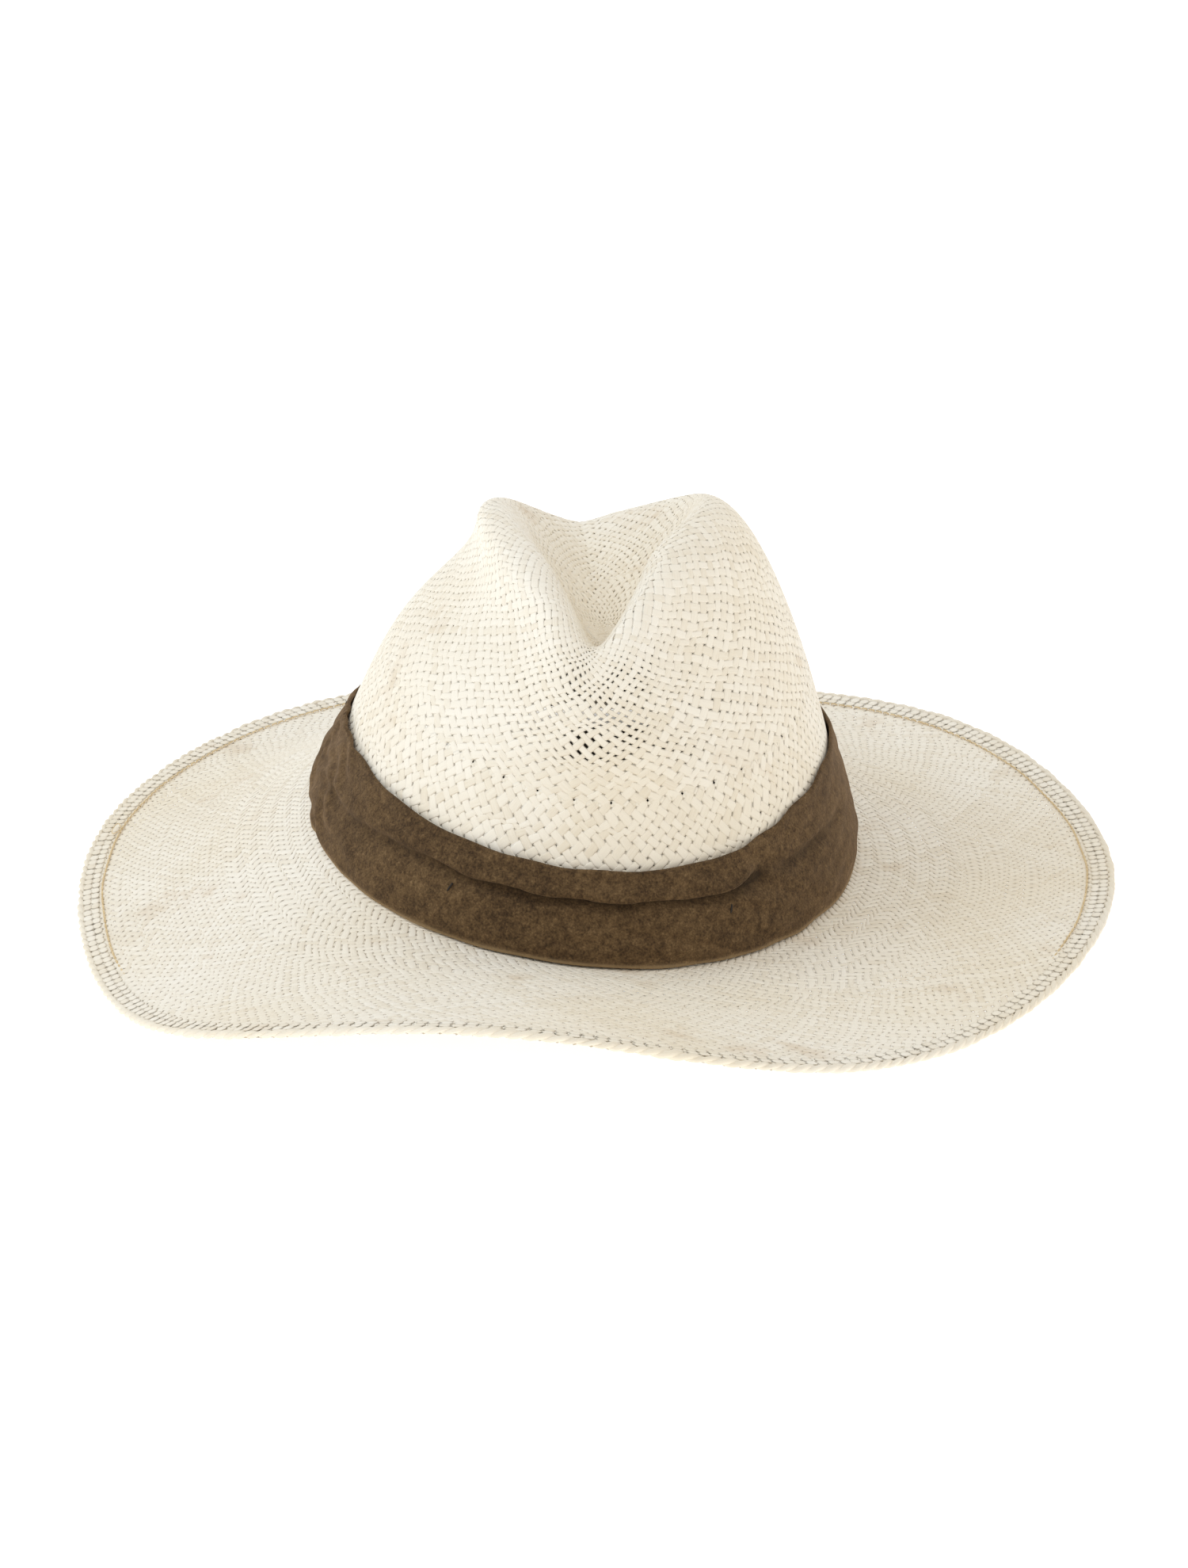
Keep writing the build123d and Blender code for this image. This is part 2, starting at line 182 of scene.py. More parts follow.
def crown_surface(theta, s):
    """Outside of the crown. s runs from 0 at the break to 1 at the lowest point of the crease."""
    theta, s = np.broadcast_arrays(theta, s)
    c, sn = np.cos(theta), np.sin(theta)
    bx, by, _, _ = break_oval(theta)
    to_front = (1 - sn) / 2
    kx = (CREST_HALF_WIDTH * c + CREST_SKEW * c * c) * (1 - CREST_TAPER * to_front**CREST_TAPER_CURVE)
    kx = kx + CREST_LEAN * to_front
    ky = mix(CREST_BACK, CREST_FRONT, to_front)
    kz = crest_height(theta)
    run = np.hypot(bx - kx, by - ky)
    ox, oy = (bx - kx) / run, (by - ky) / run
    t = np.minimum(s / SIDE_SHARE, 1)
    shoulder = mix(SHOULDER_END, mix(SHOULDER_RIGHT, SHOULDER_LEFT, (1 + c) / 2), c * c)
    foot = stack(bx, by, 0.0 * bx)
    wall = stack(bx * (1 - WALL_DRAFT), by * (1 - WALL_DRAFT), kz * WALL_RISE)
    crest = stack(kx, ky, kz)
    side = bezier(foot, wall, stack(kx + ox * shoulder, ky + oy * shoulder, kz), crest, t)
    turn = turn_from_front(theta)
    across, level = (np.abs(turn) - PINCH_TURN) / PINCH_SPREAD, (t - PINCH_LEVEL) / PINCH_TALL
    pinch = PINCH_DEPTH * np.exp(-(across**2) - level**2)
    across, level = (turn + pi / 2) / DENT_SPREAD, (t - DENT_LEVEL) / DENT_TALL
    pinch = (pinch + DENT_DEPTH * np.exp(-(across**2) - level**2)) * (1 - t**6)
    side = side - stack(ox * pinch, oy * pinch, 0.0 * pinch)
    t = np.clip((s - SIDE_SHARE) / (1 - SIDE_SHARE), 0, 1)
    rx, ry = -kx, CREASE_Y - ky
    reach = np.hypot(rx, ry)
    rim = stack(kx + rx * CREASE_ROUND / reach, ky + ry * CREASE_ROUND / reach, kz)
    floor = stack(kx + rx * (1 - CREASE_FLAT), ky + ry * (1 - CREASE_FLAT), CREASE_HEIGHT)
    crease = bezier(crest, rim, floor, np.array([0, CREASE_Y, CREASE_HEIGHT]), t)
    return np.where((s < SIDE_SHARE)[..., None], side, crease)


def edge_height(theta):
    return BRIM_DROP + sum(a * np.cos(n * theta) + b * np.sin(n * theta) for n, a, b in BRIM_WAVE)


def brim_surface(theta, u):
    """Top of the brim. u runs from 0 at the break to 1 at the edge."""
    theta, u = np.broadcast_arrays(theta, u)
    drop = edge_height(theta)
    x, y, _, _ = break_oval(theta, u * np.sqrt(BRIM_WIDTH**2 - drop**2))
    sag = BRIM_SAG + BRIM_SAG_BACK * np.sin(theta)
    return stack(x, y, drop * u + 4 * u * (1 - u) * sag)


def read_grid(grid, theta, level):
    """Value between the four nearest points. theta picks the column, and level counts rows of the grid."""
    column = np.mod(theta, 2 * pi) / (2 * pi) * (grid.shape[0] - 1)
    i = np.minimum(column.astype(int), grid.shape[0] - 2)
    j = np.minimum(level.astype(int), grid.shape[1] - 2)
    f, g = (column - i)[..., None], (level - j)[..., None]
    return mix(mix(grid[i, j], grid[i + 1, j], f), mix(grid[i, j + 1], grid[i + 1, j + 1], f), g)


class Skin:
    """A surface as a fine grid, read by theta and by the share of the way along its meridians."""

    def __init__(self, surface, facing, columns=720, levels=600):
        theta = np.linspace(0, 2 * pi, columns + 1)
        points = surface(theta[:, None], np.linspace(0, 1, 2 * levels + 1)[None, :])
        run = np.cumsum(np.linalg.norm(np.diff(points, axis=1), axis=2), axis=1)
        run = np.concatenate([np.zeros((columns + 1, 1)), run], axis=1)
        even = np.empty((columns + 1, levels + 1, 3))
        for column in range(columns + 1):
            wanted = np.linspace(0, run[column, -1], levels + 1)
            for axis in range(3):
                even[column, :, axis] = np.interp(wanted, run[column], points[column, :, axis])
        around = (np.roll(even[:-1], -1, axis=0) - np.roll(even[:-1], 1, axis=0))
        around = np.concatenate([around, around[:1]])
        normal = np.cross(around, np.gradient(even, axis=1)) * facing
        normal /= np.maximum(np.linalg.norm(normal, axis=2, keepdims=True), 1e-9)
        self.grid = np.concatenate([even, normal], axis=2)
        self.levels = levels

    def at(self, theta, share):
        """Points and outward normals."""
        theta, share = np.broadcast_arrays(theta, share)
        both = read_grid(self.grid, theta, np.clip(share, 0, 1) * self.levels)
        return both[..., :3], unit(both[..., 3:])


CROWN = Skin(crown_surface, 1)
BRIM = Skin(brim_surface, -1)
MEAN_RADIUS = 95             # of the oval at the break, to turn angles into lengths


class Wall:
    """The crown's side, read by theta and by height."""

    def __init__(self, columns=720, top=50.0, levels=100):
        theta = np.linspace(0, 2 * pi, columns + 1)
        points = crown_surface(theta[:, None], np.linspace(0, 0.8 * SIDE_SHARE, 300)[None, :])
        heights = np.linspace(0, top, levels + 1)
        self.grid = np.empty((columns + 1, levels + 1, 2))
        for column in range(columns + 1):
            for axis in range(2):
                self.grid[column, :, axis] = np.interp(heights, points[column, :, 2], points[column, :, axis])
        self.levels, self.top = levels, top

    def at(self, theta, height, out):
        """Points at a height on the crown's side, moved straight out by a distance."""
        theta, height, out = np.broadcast_arrays(theta, height, out)
        both = read_grid(self.grid, theta, np.clip(height / self.top, 0, 0.9999) * self.levels)
        _, _, nx, ny = break_oval(theta)
        return stack(both[..., 0] + nx * out, both[..., 1] + ny * out, height)


WALL = Wall()


# ------------ smooth noise, the same at each run
def waves(seed, count, low, high):
    """Smooth repeatable noise: a sum of sine waves, each with a whole number of turns round the hat."""
    draw = np.random.default_rng(seed)
    turns = draw.integers(low, high + 1, count)
    rise = draw.uniform(-high, high, count)
    phase = draw.uniform(0, 2 * pi, count)

    def value(theta, level):
        total = 0.0
        for n, m, p in zip(turns, rise, phase):
            total = total + np.sin(n * theta + m * level + p)
        return total / sqrt(count / 2)

    return value


def bump(x, centre, spread):
    return np.exp(-(((x - centre) / spread) ** 2))


def smooth_step(x, start, end):
    t = np.clip((x - start) / (end - start), 0, 1)
    return t * t * (3 - 2 * t)


# ------------ meshes
def new_object(name, data):
    thing = bpy.data.objects.new(name, data)
    bpy.context.scene.collection.objects.link(thing)
    return thing


def new_mesh(name, points, quads, caps=(), attributes=(), smooth=True):
    """Mesh object from points in the hat's axes. caps is an array with one polygon in each row."""
    mesh = bpy.data.meshes.new(name)
    points = place(points)
    mesh.vertices.add(len(points))
    mesh.vertices.foreach_set("co", points.astype(np.float32).ravel())
    sizes = np.full(len(quads), 4)
    corners = np.asarray(quads).ravel()
    if len(caps):
        caps = np.asarray(caps)
        sizes = np.concatenate([sizes, np.full(len(caps), caps.shape[1])])
        corners = np.concatenate([corners, caps.ravel()])
    mesh.loops.add(len(corners))
    mesh.loops.foreach_set("vertex_index", corners.astype(np.int32))
    mesh.polygons.add(len(sizes))
    mesh.polygons.foreach_set("loop_start", np.concatenate([[0], np.cumsum(sizes)[:-1]]).astype(np.int32))
    mesh.polygons.foreach_set("use_smooth", np.full(len(sizes), smooth))
    mesh.update(calc_edges=True)
    for key, values in dict(attributes).items():
        layer = mesh.attributes.new(key, "FLOAT", "POINT")
        layer.data.foreach_set("value", np.asarray(values, np.float32).ravel())
    return new_object(name, mesh)


def disc(sides):
    angle = 2 * pi * np.arange(sides) / sides
    return list(zip(np.cos(angle), np.sin(angle)))


def swept(name, centre, side, normal, section, attributes, joined):
    """A section carried along each row of centre. It lists (across, up) in shares of side and normal."""
    lines, samples, _ = centre.shape
    across, height = (np.array(values)[:, None] for values in zip(*section))
    points = centre[:, :, None] + side[:, :, None] * across + normal[:, :, None] * height
    index = np.arange(lines * samples * len(section)).reshape(lines, samples, len(section))
    here, there = (index, np.roll(index, -1, axis=1)) if joined else (index[:, :-1], index[:, 1:])
    quads = stack(here, there, np.roll(there, -1, axis=2), np.roll(here, -1, axis=2)).reshape(-1, 4)
    caps = () if joined else np.concatenate([index[:, 0], index[:, -1, ::-1]])
    kept = {k: np.broadcast_to(v[:, :, None], index.shape) for k, v in dict(attributes).items()}
    kept["across"] = np.broadcast_to(across[:, 0], index.shape)
    return new_mesh(name, points.reshape(-1, 3), quads, caps, kept)


def strips(name, centre, side, normal, section, attributes=()):
    """Strips with closed ends."""
    return swept(name, centre, side, normal, section, attributes, False)


def loops(name, centre, side, normal, section, attributes=()):
    """Strips that run all the way round and join their own start."""
    return swept(name, centre, side, normal, section, attributes, True)


# ------------ weave
LIFT = 0.075                 # how far a strand rides above or below the middle of the weave
STRAND = 0.22                # thickness of a strand
FLAT_SECTION = [(-1.0, -0.3 * STRAND), (-0.55, 0.5 * STRAND), (0.55, 0.5 * STRAND), (1.0, -0.3 * STRAND)]
NARROW = 0.08                # how much narrower a strand is between two crossings
WIDEST = 1.06                # most of its space that a strand may fill
UNEVEN = 0.02                # how much strands differ in width, as a share of their space
DRIFT_STRETCH = 7            # how many times faster the drift changes up the surface than round it
DRIFT_UP_ROWS = 0.3          # how far a crossing strays up or down, in rows
DRIFT_ROUND_STEPS = 0.08     # how far it strays to the side, in steps
DRIFT_ROUND = waves(21, 12, 2, 14)
DRIFT_UP = waves(22, 12, 2, 14)


def weave(name, skin, start, end, rows, count, over, fill, squeeze=0.0, depth=STRAW / 2, lift=LIFT,
          narrow=NARROW, seed=0):
    """Two pieces, one for each direction that the strands run in.

    Strands cross on rows between start and end, count of them on each row and each row half a step on.
    A strand that runs one way lies on top for `over` rows, then below for as many. fill(theta, share)
    is a strand's width as a share of the space it has.
    """
    pieces = []
    draw = np.random.default_rng(seed)
    row = (np.arange(rows)[:, None] + np.array([0.25, 0.5, 0.75])).ravel()
    state = np.where((np.arange(rows + 1) // over) % 2 == 0, 1, -1)
    crossing = np.repeat(np.arange(rows + 1), 2) + np.tile([-0.25, 0.25], rows + 1)
    turned = np.interp(row, crossing, np.repeat(state, 2))
    width = np.where(np.mod(row, 1) == 0.5, 1 - narrow, 1.0)
    share_of_row = (end - start) / rows
    for hand, way in ((1, "a"), (-1, "b")):
        strand = np.arange(count)
        phi = 2 * pi / count * (strand[:, None] + hand * row[None, :] / 2)
        theta = phi - squeeze * np.sin(2 * phi) / 2
        share = np.broadcast_to(start + share_of_row * row, theta.shape)
        drift = smooth_step(row, 0, 3) * (1 - smooth_step(row, rows - 3, rows))
        share = share + DRIFT_UP(theta, share * DRIFT_STRETCH) * share_of_row * DRIFT_UP_ROWS * drift
        theta = theta + DRIFT_ROUND(theta, share * DRIFT_STRETCH) * 2 * pi / count * DRIFT_ROUND_STEPS * drift
        points, normal = skin.at(theta, share)
        centre = points + normal * (lift * hand * turned - depth)[None, :, None]
        along = unit(np.gradient(centre, axis=1))
        next_one = np.roll(points, -1, axis=0) - points
        pitch = np.linalg.norm(np.cross(next_one, along), axis=2)
        own = draw.normal(0, UNEVEN, (count, 1))
        wobble = draw.normal(0, UNEVEN, theta.shape)
        half = 0.5 * pitch * width * np.minimum(fill(theta, share) + own + wobble, WIDEST)
        side = np.cross(normal, along) * half[..., None]
        tone = np.broadcast_to(draw.uniform(0, 1, (count, 1)), theta.shape)
        length = np.cumsum(np.linalg.norm(np.gradient(centre, axis=1), axis=2), axis=1)
        piece = strips(f"{name}_{way}", centre, side, normal, FLAT_SECTION, {"tone": tone, "along": length})
        pieces.append(piece)
    return pieces


OPENNESS = waves(5, 9, 3, 11)


def crown_fill(theta, share):
    """Close all over, and open under the lip, where the crown was stretched."""
    turn = turn_from_front(theta)
    front = bump(turn, radians(3), radians(33)) * smooth_step(share, 0.37, 0.43)
    front = front * (1 - smooth_step(share, 0.58, 0.68))
    patchy = np.clip(0.72 + 0.26 * OPENNESS(theta * 2, share * 16), 0.3, 1)
    low = bump(turn, radians(16), radians(34)) * bump(share, 0.2, 0.06)
    side = bump(turn, radians(60), radians(22)) * bump(share, 0.5, 0.1)
    loose = np.clip(0.5 + 0.5 * OPENNESS(theta, share * 9), 0, 1)
    left = bump(turn, radians(-75), radians(40))
    return 1.03 + 0.03 * left - 0.38 * front * patchy - 0.06 * (low + side) * loose


def brim_fill(theta, share):
    loose = np.clip(OPENNESS(theta + 1.0, share * 10), 0, 1.6)
    right = bump(np.cos(theta), 1.0, 0.5)
    return 1.02 - (0.02 + 0.05 * right) * loose


CROWN_SQUEEZE = 0.2          # strands stand this much closer at the front and back than at the sides
BRIM_LIFT = 0.06
# The weaver adds strands on the way down from the top, so the lower crown has more of them.
crown_weave = weave("crown_weave", CROWN, 0.0, 0.335, 23, 120, 1, crown_fill, CROWN_SQUEEZE, seed=11)
upper_weave = weave("upper_crown_weave", CROWN, 0.325, 0.80, 48, 80, 1, crown_fill, CROWN_SQUEEZE, seed=16)
crease_weave = weave("crease_weave", CROWN, 0.785, 0.94, 11, 60, 1, crown_fill, CROWN_SQUEEZE, seed=12)
centre_weave = weave("crown_centre_weave", CROWN, 0.93, 0.988, 8, 30, 1, crown_fill, seed=17)
inner_brim = weave("inner_brim_weave", BRIM, 0.0, 0.43, 24, 200, 2, brim_fill, 0.1, lift=BRIM_LIFT,
                   narrow=0.07, seed=13)
outer_brim = weave("outer_brim_weave", BRIM, 0.415, 0.985, 32, 252, 1, brim_fill, 0.08, lift=BRIM_LIFT,
                   narrow=0.09, seed=14)


def hem_fill(theta, share):
    return 1.0 + 0 * share


hem_weave = weave("hem_weave", BRIM, 0.905, 0.985, 5, 252, 1, hem_fill, 0.08, depth=2.3, lift=0.15, seed=15)


TIP_POINTS = 48
TIP_TOP, TIP_UNDER = 0.5, 0.9     # how far its two faces lie below the weave


def tip_patch():
    """Small round under the weave, which closes the crease at its lowest point."""
    theta = np.linspace(0, 2 * pi, TIP_POINTS, endpoint=False)
    middle = CROWN.at(theta, 1.0)[0].mean(axis=0)
    rings = [CROWN.at(theta, share)[0] for share in (0.955, 0.97, 0.985)]
    rings.append(middle + (rings[-1] - middle) * 0.02)
    points = np.stack(rings)
    section = np.concatenate([points - np.array([0, 0, TIP_TOP]), points[::-1] - np.array([0, 0, TIP_UNDER])])
    index = np.arange(len(section) * TIP_POINTS).reshape(len(section), TIP_POINTS)
    there = np.roll(index, -1, axis=1)
    faces = stack(index[:-1], index[1:], there[1:], there[:-1]).reshape(-1, 4)
    quads = np.concatenate([faces, stack(index[-1], index[0], there[0], there[-1])])
    points = section.reshape(-1, 3)
    flat = {"tone": np.full(len(points), 0.5), "along": points[:, 0], "across": 0.1 * points[:, 1]}
    return new_mesh("tip_patch", points, quads, (), flat)


tip = tip_patch()


def ring(name, points, out, height, half_width, half_height, sides, run):
    """Closed ring at the break, moved out by a distance. run turns angles into lengths along it."""
    theta = np.linspace(0, 2 * pi, points, endpoint=False)
    x, y, nx, ny = break_oval(theta, out)
    centre = stack(x, y, np.full(points, height))[None]
    outward = stack(nx, ny, 0 * nx)[None] * half_width
    up = np.broadcast_to(np.array([0, 0, half_height]), outward.shape)
    marks = {"tone": np.full((1, points), 0.5), "along": theta[None] * run}
    return loops(name, centre, outward, up, disc(sides), marks)


# Closed weave under the band, where the crown turns out into the brim.
foot = ring("break_ring", 720, 0.9, -0.8, 2.0, 0.35, 8, MEAN_RADIUS)

# ------------ rope along the edge
ROPE_TURNS = 118
ROPE_STRAND = 0.95
ROPE_COIL = 0.48
ROPE_DEPTH = 1.25
ROPE_INSET = 0.7


def edge_frame(theta, inset, depth):
    """Points near the brim's edge, with the ways outwards and up there."""
    points, normal = BRIM.at(theta, 1 - inset / BRIM_WIDTH)
    inner, _ = BRIM.at(theta, 1 - (inset + 4) / BRIM_WIDTH)
    out = unit(points - inner)
    return points - normal * depth, out, normal


def edge_rope():
    samples = ROPE_TURNS * 16
    theta = np.linspace(0, 2 * pi, samples, endpoint=False)
    centre, out, normal = edge_frame(theta, ROPE_INSET, ROPE_DEPTH)
    uneven = 1 + 0.10 * waves(31, 14, 20, 90)(theta, 0.0)[:, None]
    strands = []
    for start in (0.0, pi):
        turn = ROPE_TURNS * theta + start + 0.5 * waves(32, 8, 3, 30)(theta, 0.0)
        strands.append(centre + ROPE_COIL * (out * np.cos(turn)[:, None] + normal * np.sin(turn)[:, None]))
    strands = np.stack(strands)
    side = np.broadcast_to(out * uneven * ROPE_STRAND, strands.shape)
    up = np.broadcast_to(normal * uneven * ROPE_STRAND, strands.shape)
    run = np.broadcast_to(theta * 180, strands.shape[:2])
    tone = np.broadcast_to(np.array([[0.35], [0.65]]), strands.shape[:2])
    return loops("edge_rope", strands, side, up, disc(8), {"tone": tone, "along": run})


rope = edge_rope()


def ticks(name, count, inset, length, width, rise, seed):
    """A row of short strands that lie across the hem."""
    draw = np.random.default_rng(seed)
    theta = 2 * pi * (np.arange(count)[:, None] + draw.normal(0, 0.06, (count, 1))) / count
    steps = np.linspace(0, 1, 5)[None, :]
    share = 1 - (inset + length * (steps - 0.5)) / BRIM_WIDTH
    points, normal = BRIM.at(theta + 0.0 * steps, share)
    centre = points + normal * (rise * np.sin(pi * steps) ** 0.5 - 0.25)[..., None]
    along = unit(np.gradient(centre, axis=1))
    side = np.cross(normal, along) * (width / 2) * np.sin(pi * (0.12 + 0.76 * steps))[..., None] ** 0.5
    tone = np.broadcast_to(draw.uniform(0, 1, (count, 1)), centre.shape[:2])
    return strips(name, centre, side, normal, FLAT_SECTION, {"tone": tone, "along": share * 80 + 0.0 * tone})


HEM_TICKS = 300
hem_ticks = [
    ticks("hem_ticks_outer", HEM_TICKS, 2.9, 2.9, 4.0, 0.04, 41),
    ticks("hem_ticks_inner", HEM_TICKS, 5.6, 2.6, 3.9, 0.03, 42),
]

# ------------ hem thread
STITCH = 2.6
STITCH_STEP = 3.2
STITCH_INSET = HEM_WIDTH - 0.3


def hem_stitches():
    """Tan running stitches, which sink into the straw at the front."""
    draw = np.random.default_rng(51)
    edge, _ = BRIM.at(np.linspace(0, 2 * pi, 721), 1 - STITCH_INSET / BRIM_WIDTH)
    run = np.concatenate([[0], np.cumsum(np.linalg.norm(np.diff(edge, axis=0), axis=1))])
    count = int(run[-1] / STITCH_STEP)
    middle = (np.arange(count) + 0.5)[:, None] * run[-1] / count + draw.normal(0, 0.12, (count, 1))
    length = STITCH * (1 + draw.normal(0, 0.07, (count, 1)))
    steps = np.linspace(-0.5, 0.5, 7)[None, :]
    theta = np.interp(middle + length * steps, run, np.linspace(0, 2 * pi, 721))
    inset = STITCH_INSET + 0.09 * waves(52, 6, 5, 40)(theta, 0.0)
    points, normal = BRIM.at(theta, 1 - inset / BRIM_WIDTH)
    sunk = 1.0 * smooth_step(np.cos(theta - radians(-92)), 0.32, 0.5)
    arch = 0.22 - 0.4 * (2 * steps) ** 6
    centre = points + normal * (arch - sunk)[..., None]
    along = unit(np.gradient(centre, axis=1))
    side = np.cross(normal, along) * 0.33
    tone = np.broadcast_to(draw.uniform(0, 1, (count, 1)), theta.shape)
    marks = {"tone": tone, "along": steps * 3 + 0 * theta}
    return strips("hem_stitches", centre, side, normal * 0.2, disc(6), marks)


def thread_loop():
    """The loose end of the hem thread, a tiny loop at the right side."""
    steps = np.linspace(0, 1, 24)[None, :]
    theta = radians(168.5) + radians(1.6) * np.sin(2 * pi * steps) * (1 - 0.3 * steps)
    share = 1 - (STITCH_INSET - 2.6 * np.sin(pi * steps)) / BRIM_WIDTH
    points, normal = BRIM.at(theta, share)
    centre = points + normal * (0.35 + 0.8 * np.sin(pi * steps))[..., None]
    along = unit(np.gradient(centre, axis=1))
    side = unit(np.cross(normal, along)) * 0.15
    up = np.cross(along, side)
    tone = np.full(theta.shape, 0.9)
    return strips("thread_loop", centre, side, up, disc(6), {"tone": tone, "along": steps * 9})


hem_thread = [hem_stitches(), thread_loop()]


# ------------ bands that go round the crown
def panel(name, theta, rows, height, out, thickness, closed, marks=()):
    """Sheet that follows the crown's side, all the way round if closed.

    height, out and the values of marks are functions of theta and of the row's share of the way up.
    """
    share = np.linspace(0, 1, rows)[None, :]
    turn = theta[:, None] + 0.0 * share
    high, off = height(turn, share), out(turn, share)
    outer = WALL.at(turn, high, off)
    inner = WALL.at(turn, high, off - thickness)[:, ::-1]
    top = WALL.at(theta, high[:, -1] + 0.35 * thickness, off[:, -1] - thickness / 2)[:, None]
    foot = WALL.at(theta, high[:, 0] - 0.35 * thickness, off[:, 0] - thickness / 2)[:, None]
    points = np.concatenate([outer, top, inner, foot], axis=1)
    count, corners = points.shape[:2]
    index = np.arange(count * corners).reshape(count, corners)
    there = np.roll(index, -1, axis=0)
    if not closed:
        index, there = index[:-1], there[:-1]
    quads = stack(index, there, np.roll(there, -1, axis=1), np.roll(index, -1, axis=1)).reshape(-1, 4)
    caps = ()
    if not closed:
        low = np.arange(rows - 1)
        face = stack(low, low + 1, 2 * rows - low - 1, 2 * rows - low)
        tips = np.array([[rows - 1, rows, rows + 1], [2 * rows, 2 * rows + 1, 0]])
        last = (count - 1) * corners
        quads = np.concatenate([quads, face, (face + last)[:, ::-1]])
        caps = np.concatenate([tips, (tips + last)[:, ::-1]])
    kept = {}
    for key, value in dict(marks).items():
        face = value(turn, share)
        kept[key] = np.concatenate([face, face[:, -1:], face[:, ::-1], face[:, :1]], axis=1)
    return new_mesh(name, points.reshape(-1, 3), quads, caps, kept)


def band_height(theta, height):
    turn = np.mod(theta - BAND_RISE_TURN + pi, 2 * pi) - pi
    return height * (1 + BAND_RISE * np.exp(-((turn / BAND_RISE_SPREAD) ** 2)))


def angle_from(theta, degrees_at):
    """Degrees from that place round the hat, between -180 and 180."""
    return np.degrees(np.mod(theta - radians(degrees_at) + pi, 2 * pi) - pi)


WRINKLES = waves(61, 16, 5, 26)
FOLD_MIDDLE = -105           # degrees round the hat, the middle of the band's lengthwise fold
GATHER = -50                 # where the fold ends, in a gathered pinch


def fold_height(theta):
    """Height of the band's lengthwise fold."""
    far = angle_from(theta, FOLD_MIDDLE)
    return 20.3 - 3.8 * smooth_step(-far, 22, 58) + 0.2 * WRINKLES(theta, 0.0)


def fold_reach(theta):
    """1 along the fold, 0 past its ends."""
    end = smooth_step(angle_from(theta, GATHER), -3, 5)
    return smooth_step(angle_from(theta, FOLD_MIDDLE), -85, -45) * (1 - end)


def fold_sharpness(theta):
    return smooth_step(angle_from(theta, FOLD_MIDDLE), -40, 15)


def crease_reach(theta):
    """1 along the short slanting crease beyond the pinch, 0 past its ends."""
    return smooth_step(angle_from(theta, -44), -3, 6) * (1 - smooth_step(angle_from(theta, -18), -10, 10))


def crease_height(theta):
    return 19.0 - 0.06 * angle_from(theta, -39)


BAND_LOW, BAND_HIGH = BAND_PROFILE[0][0], BAND_PROFILE[-1][0]


def band_level(share):
    return mix(BAND_LOW, BAND_HIGH, share)


def band_share(level):
    return (level - BAND_LOW) / (BAND_HIGH - BAND_LOW)


def painted_fold_shade(theta, share):
    """Painted shade for the suede's colour: 1 in the bottom of the fold and of the pinch, 0 away from them."""
    level = band_level(share)
    sharp = fold_sharpness(theta)
    depth = bump(level - fold_height(theta), -0.7, 0.9 + 0.6 * (1 - sharp))
    fold = fold_reach(theta) * (0.35 + 0.65 * sharp) * depth
    pinch = bump(angle_from(theta, GATHER), -1, 5.0) * bump(level, 20.0, 2.6)
    crease = 0.6 * crease_reach(theta) * bump(level - crease_height(theta), 0, 1.3)
    return np.clip(fold + pinch + crease, 0, 1)


def cut_edge(theta, share):
    """1 on the pale cut edge along the foot of the band, 0 above it."""
    return bump(share, 0.0, 0.03) + 0.0 * theta


# painted shade in the fold, pinch and crease, and the suede's own pale cut edge, carried on the band's points into
# its colour
BAND_MARKS = {"painted_shade": painted_fold_shade, "cut": cut_edge}


def band_out(theta, share):
    """How far the suede's face stands off the crown."""
    level = band_level(share)
    base = np.interp(level, [z for z, _ in BAND_PROFILE], [out for _, out in BAND_PROFILE])
    from_fold, from_gather = level - fold_height(theta), angle_from(theta, GATHER)
    there = fold_reach(theta)
    sharp = fold_sharpness(theta) * (1 - smooth_step(from_gather, -4, 4))
    dull = 1 - sharp
    flap = (0.8 + 1.4 * sharp) * there * smooth_step(from_fold, -0.3 - 1.0 * dull, 0.3 + 0.6 * dull)
    flap = flap * (1 - 0.5 * smooth_step(from_fold, 1.0, 8))
    groove = (1.3 + 1.3 * sharp) * there * bump(from_fold, -1.1 - 0.5 * dull, 1.3 + 0.8 * dull)
    crease = crease_reach(theta) * 1.5 * bump(level - crease_height(theta), 0, 1.5)
    pinch = 2.0 * bump(from_gather, 0, 3.6) * bump(level, 20.5, 3.2)
    spokes = 0.5 * bump(from_gather, 0, 16) * np.sin(from_gather * 0.55 + (level - 20) * 0.9)
    far_side = smooth_step(-angle_from(theta, -150), -12, 18)
    far_side = far_side * (1 - smooth_step(-angle_from(theta, 165), -5, 25))
    loose = 0.5 * far_side * np.sin(level * 0.85 + 0.22 * angle_from(theta, 180) + 1.5 * WRINKLES(theta, 0.0))
    stand = 0.9 * bump(angle_from(theta, -172), 0, 8) * smooth_step(level, 20, 28)
    soft = 0.16 * WRINKLES(theta, level * 0.05)
    tight = 0.6 * bump(angle_from(theta, 160), 0, 38) * smooth_step(level, 10, 27)
    out = base + flap - groove - crease - pinch + spokes * 0.6 + loose + stand + soft - tight
    return np.maximum(out, SUEDE - 0.25)


BAND_FOOT_SHARE = 0.042      # where on the brim the band's foot comes down
BAND_FOOT_GAP = 0.35


def suede_height(theta, share):
    foot = brim_surface(theta, BAND_FOOT_SHARE)[..., 2] + BAND_FOOT_GAP
    level = mix(foot, BAND_HIGH, share)
    level = level * (1 - 0.25 * bump(angle_from(theta, 150), 0, 22))
    edge = smooth_step(share, 0.6, 1.0) * 0.1 * WRINKLES(theta, 3.0)
    return band_height(theta, level) + edge


round_the_hat = np.linspace(0, 2 * pi, 900, endpoint=False)
band = panel("suede_band", round_the_hat, 52, suede_height, band_out, SUEDE, True, BAND_MARKS)


